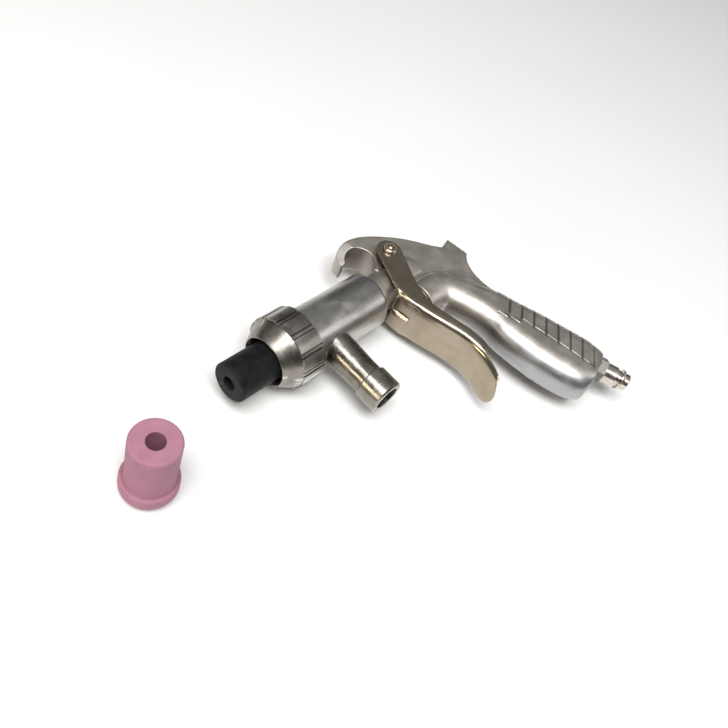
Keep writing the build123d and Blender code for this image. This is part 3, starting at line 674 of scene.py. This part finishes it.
def widen_bends(thing):
    """Takes the trigger's sheet from its face to its sides round a wide bend, then evens it."""
    at = points_of(thing)
    side = np.abs(at[:, 2] - MID_Z)
    out = side - (side.max() - BEND)
    fore = BEND - behind_face(at, side)
    turn = np.arctan2(fore, out)
    cosine, sine = np.cos(turn), np.sin(turn)
    # the old outline's distance from the bend's centre, in each point's direction
    reach = BEND / np.maximum(np.maximum(cosine, sine), 0.1)
    centre = BEND - CORNER
    along = centre * (cosine + sine)
    arc = along + np.sqrt(np.maximum(along ** 2 - 2 * centre ** 2 + CORNER ** 2, 0))
    on_arc = (arc * cosine > centre) & (arc * sine > centre)
    factor = BEND / np.where(on_arc, arc, reach)
    turned = (out > 0) & (fore > 0)
    at[:, 0] += np.where(turned, fore - fore * factor, 0)
    at[:, 2] += np.where(turned, (out * factor - out) * np.sign(at[:, 2] - MID_Z), 0)
    thing.data.vertices.foreach_set("co", at.ravel())
    thing.data.update()
    relax(thing, rise(out, -0.5 * MM, 0.5 * MM) * rise(fore, -0.5 * MM, 0.5 * MM) * 0.9, 30)
    tip = 1 - rise(at[:, 1] - at[:, 1].min(), 12 * MM, 18 * MM)
    relax(thing, tip * rise(out, -1.5 * MM, 0.5 * MM) * 0.8, 25)
    relax(thing, np.full(len(at), 0.5), 8)


body = cast_copy("gun_body", "cast_body", 0.32 * MM, 2)
round_grip_end(body)
push(body, casting_waves)
settle(body, "gun_body", body_metal)

trigger = cast_copy("trigger_lever", "trigger_sheet", 0.30 * MM, 4)
widen_bends(trigger)
settle(trigger, "trigger_lever", trigger_metal)

# the turned pieces: node, piece, width of its broken edges in mm, material and slot
for node, name, width, material, slot in (
    ("nozzle_nut", "fluted_nut", 0.22, nut_metal, "machined_aluminium_nut"),
    ("mixing_head", "head_barrel", 0.35, head_metal, "machined_aluminium"),
    ("suction_tube", "suction_spout", 0.25, suction_metal, "zinc_plated_steel"),
    ("blast_nozzle", "black_nozzle", 0.4, black, "black_carbide"),
    ("inlet_plug", "coupler_plug", 0.15, plug_metal, "nickel_fittings"),
    ("pivot_pin", "pivot_screw", 0.12, pin_metal, "nickel_fittings"),
    ("spare_nozzle", "pink_nozzle", 0.45, pink, "pink_ceramic"),
    ("valve_cap", "valve_end_cap", 0.2, cap_metal, "nickel_fittings"),
):
    settle(turned_copy(node, name, width * MM), node, material)

# the spring sits between the poppet, which moves, and the cap, which doesn't; it is copied,
# painted and baked in place
spring = turned_copy("valve_spring", "closing_spring", 0.02 * MM, angle=60.0, segments=1)
along = points_of(spring) @ np.array(VALVE_DIR) - VALVE_AT.dot(VALVE_DIR)
paint(spring, spring_metal)
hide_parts("valve_spring")
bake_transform(spring)

for node, material in {
    "nozzle_gasket": black_rubber,
    "barrel_tube": steel,
    "head_o_ring": black_rubber,
    "air_jet": brass,
    "pivot_ring": pin_metal,
    "valve_gland": brass,
    "stem_o_ring": black_rubber,
    "valve_stem": stem_steel,
    "valve_seal": black_rubber,
    "valve_poppet": brass,
    "cap_o_ring": black_rubber,
    "inlet_seal": ptfe,
}.items():
    paint_node(node, material)


# ---------------------------------------------------------------- floor, light, camera
def grid_sheet(name, half, rows):
    mesh = bmesh.new()
    bmesh.ops.create_grid(mesh, x_segments=rows, y_segments=rows, size=half)
    made = bpy.data.meshes.new(name)
    mesh.to_mesh(made)
    mesh.free()
    sheet = bpy.data.objects.new(name, made)
    bpy.context.scene.collection.objects.link(sheet)
    return sheet


floor = grid_sheet("studio_floor", 3.0, 8)
floor.location.z = cad_box[0][2] - 0.05 * MM
paper = Graph("studio_paper")
tone = paper.band(paper.grain(0.2), 0.3, 0.7)
tone = paper.blend(tone, (0.86, 0.86, 0.855, 1), (0.88, 0.88, 0.876, 1))
tooth = paper.bump(paper.grain(0.8 * MM, detail=3), 0.01 * MM, 0.3)
paint(floor, paper.close(tone, 0.85, tooth, metallic=0.0))


def soft_box(name, toward, distance, width, height, radiance, colour=(1, 1, 1), along=(0, 1, 0)):
    """A soft box that faces the object from a direction, with a set brightness."""
    lamp = bpy.data.lights.new(name, "AREA")
    lamp.shape = "RECTANGLE"
    lamp.size = width
    lamp.size_y = height
    lamp.energy = radiance * width * height * math.pi
    lamp.color = colour
    thing = bpy.data.objects.new(name, lamp)
    facing = Vector(toward).normalized()
    across = Vector(along).cross(facing).normalized()
    upward = facing.cross(across)
    place = facing * distance
    thing.matrix_world = Matrix((
        (across.x, upward.x, facing.x, place.x),
        (across.y, upward.y, facing.y, place.y),
        (across.z, upward.z, facing.z, place.z),
        (0, 0, 0, 1),
    ))
    bpy.context.scene.collection.objects.link(thing)
    return thing


soft_box("top_box", (-0.34, -0.14, 1.0), 1.3, 0.52, 1.0, 12.0, along=GRIP_DIR)
soft_box("right_card", (0.62, -0.60, 0.50), 1.3, 0.7, 0.35, 2.0)
soft_box("left_card", (-0.92, 0.26, 0.30), 1.2, 0.26, 0.36, 9.0, (1.0, 0.88, 0.66))

world = bpy.data.worlds.new("studio")
bpy.context.scene.world = world
world.use_nodes = True
tree = world.node_tree
coord = tree.nodes.new("ShaderNodeTexCoord")
split = tree.nodes.new("ShaderNodeSeparateXYZ")
ramp = tree.nodes.new("ShaderNodeValToRGB")
tree.links.new(coord.outputs["Generated"], split.inputs[0])
tree.links.new(split.outputs["Z"], ramp.inputs[0])
stops = ramp.color_ramp
stops.elements[0].position = 0.0
stops.elements[0].color = (0.20, 0.195, 0.19, 1)
stops.elements[1].position = 1.0
stops.elements[1].color = (0.42, 0.42, 0.42, 1)
low = stops.elements.new(0.35)
low.color = (0.07, 0.068, 0.064, 1)
tree.links.new(ramp.outputs[0], tree.nodes["Background"].inputs["Color"])
tree.nodes["Background"].inputs["Strength"].default_value = 1.0

camera_data = bpy.data.cameras.new("camera")
camera_data.lens = 37.05
camera_data.sensor_width = 36.0
camera_data.clip_start = 0.01
camera = bpy.data.objects.new("camera", camera_data)
bpy.context.scene.collection.objects.link(camera)
camera_at = Vector((-0.21949, -0.07172, 0.30500))
right = Vector((0.66537, -0.68469, 0.29747))
up = Vector((0.45433, 0.68759, 0.56640))
back = right.cross(up)
camera.matrix_world = Matrix((
    (right.x, up.x, back.x, camera_at.x),
    (right.y, up.y, back.y, camera_at.y),
    (right.z, up.z, back.z, camera_at.z),
    (0, 0, 0, 1),
))
bpy.context.scene.camera = camera
bpy.context.scene.view_settings.view_transform = "Standard"
